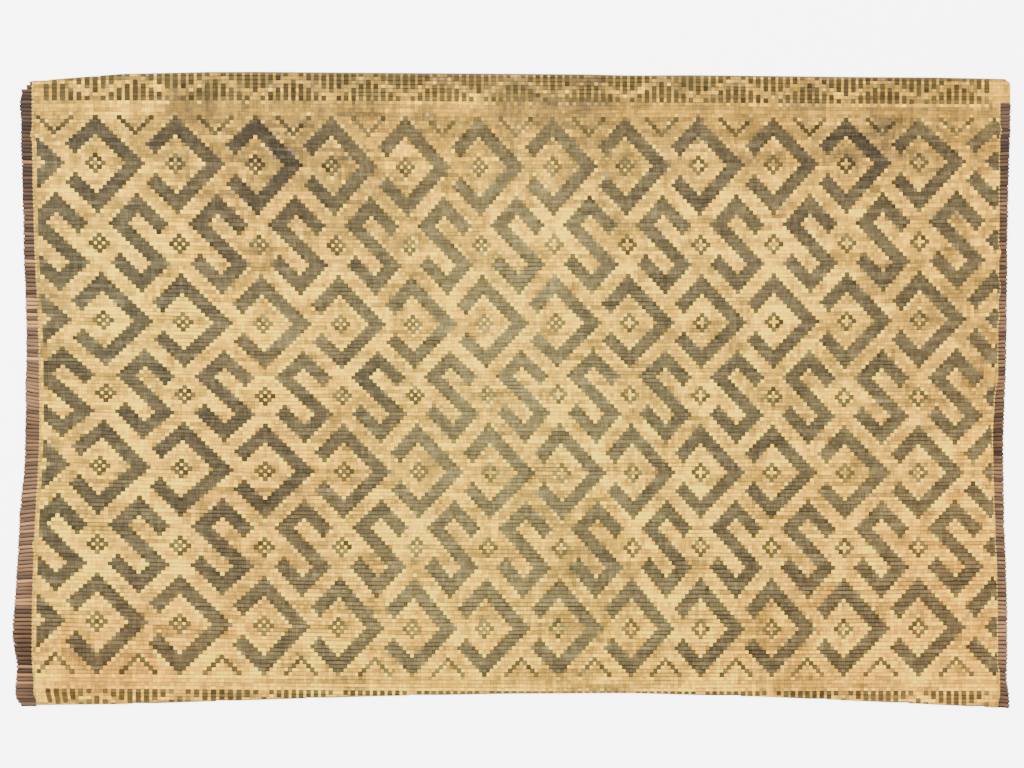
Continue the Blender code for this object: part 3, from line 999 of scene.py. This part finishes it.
stitches = stitch_tree()
cord_fibre = palm_fibre("raffia cord", (0.40, 0.29, 0.060, 1), (0.58, 0.40, 0.080, 1),
                        (1.0, 1.0, 1.0, 1), (1.10, 0.92, 0.80, 1), (1.12, 1.0, -0.1), 0.3,
                        (1.0, 0.93, 0.15))
for side_name, side, first, strip_side, rows in (
    ("left", -1, -20, FIRST_STRIP - 0.5, (0.9, 2.7)),
    ("right", 1, FLAP_LAST_REED + 1, LAST_STRIP + 0.5, (1.7,)),
):
    scatter = np.random.default_rng(TWINE_SEED + side)
    roots = left_roots if side < 0 else right_roots
    numbers = np.arange(first, LAST_REED + 1)
    far, near = reed_edges(np.full(len(numbers), strip_side), numbers.astype(float))
    kept = far - near > 0.5 * usual_pitch
    y = 0.5 * (far + near)[kept]
    points = []
    slants = []
    for row in rows:
        for number, place in enumerate(y):
            x = float(np.interp(place, *roots)) - side * row * MM
            points.append((x, place, REED_MIDDLE + END_HALF_HEIGHT))
            slants.append(side * STITCH_SLANT * scatter.uniform(0.6, 1.3))
    mesh = grow("selvedge_" + side_name, points, (), {"slant": slants}, stitches,
                **{"Length": STITCH_LENGTH, "Thick": STITCH_THICK, "Rise": STITCH_RISE,
                   "Material": cord_fibre})
    faces = len(mesh.polygons)
    each = faces // len(points)
    mark_faces(mesh, "tone", 1 + 0.35 * np.repeat(scatter.uniform(-1, 1, len(points)), each))
    mark_faces(mesh, "bleached", np.full(faces, 0.5))
    mark_faces(mesh, "reddened", np.full(faces, 0.2 if side < 0 else 0.8))
    show_piece("selvedge_" + side_name, mesh, "raffia_twine",
                            "selvedge_twine_" + side_name)


# Floor, light and camera
# The mat lies flat on a pale studio floor under soft light from above and a little from the far
# side, and is seen from straight above.
FLOOR_HALF = 8.0
floor_mesh = bpy.data.meshes.new("floor")
floor_mesh.from_pydata([(-FLOOR_HALF, -FLOOR_HALF, 0), (FLOOR_HALF, -FLOOR_HALF, 0),
                        (FLOOR_HALF, FLOOR_HALF, 0), (-FLOOR_HALF, FLOOR_HALF, 0)],
                       [], [(0, 1, 2, 3)])
floor = bpy.data.objects.new("floor", floor_mesh)
bpy.context.scene.collection.objects.link(floor)
floor_paint, floor_tree, floor_shader, floor_place = new_finish("pale floor", 0.9, 0.1)
floor_shader.inputs["Base Color"].default_value = (0.94, 0.94, 0.94, 1)
floor_shader.inputs["Emission Color"].default_value = (1.0, 1.0, 1.0, 1)
floor_shader.inputs["Emission Strength"].default_value = 4.0
floor_mesh.materials.append(floor_paint)

world = bpy.data.worlds.new("studio")
world.use_nodes = True
world.node_tree.nodes["Background"].inputs["Color"].default_value = (1.0, 1.0, 1.0, 1)
world.node_tree.nodes["Background"].inputs["Strength"].default_value = 1.8
bpy.context.scene.world = world

# Soft box, its place, the width of its square and its power
SOFT_BOXES = (
    ("far_light", (-2.0, 3.6, 4.6), 3.5, 680.0),
    ("near_light", (2.6, -3.4, 5.0), 4.0, 150.0),
)
for name, place, size, power in SOFT_BOXES:
    lamp = bpy.data.lights.new(name, "AREA")
    lamp.shape = "SQUARE"
    lamp.size = size
    lamp.energy = power
    light = bpy.data.objects.new(name, lamp)
    light.location = place
    light.rotation_mode = "QUATERNION"
    light.rotation_quaternion = (-Vector(place)).to_track_quat("-Z", "Y")
    bpy.context.scene.collection.objects.link(light)

IMAGE_WIDTH_ON_MAT = 1.8432
IMAGE_MIDDLE = (0.9 * MM, 9.9 * MM)
CAMERA_HEIGHT = 3.6
SENSOR = 36.0
eye = bpy.data.cameras.new("eye")
eye.sensor_width = SENSOR
eye.lens = SENSOR * CAMERA_HEIGHT / IMAGE_WIDTH_ON_MAT
camera = bpy.data.objects.new("eye", eye)
camera.location = (*IMAGE_MIDDLE, CAMERA_HEIGHT + REED_MIDDLE)
bpy.context.scene.collection.objects.link(camera)
bpy.context.scene.camera = camera
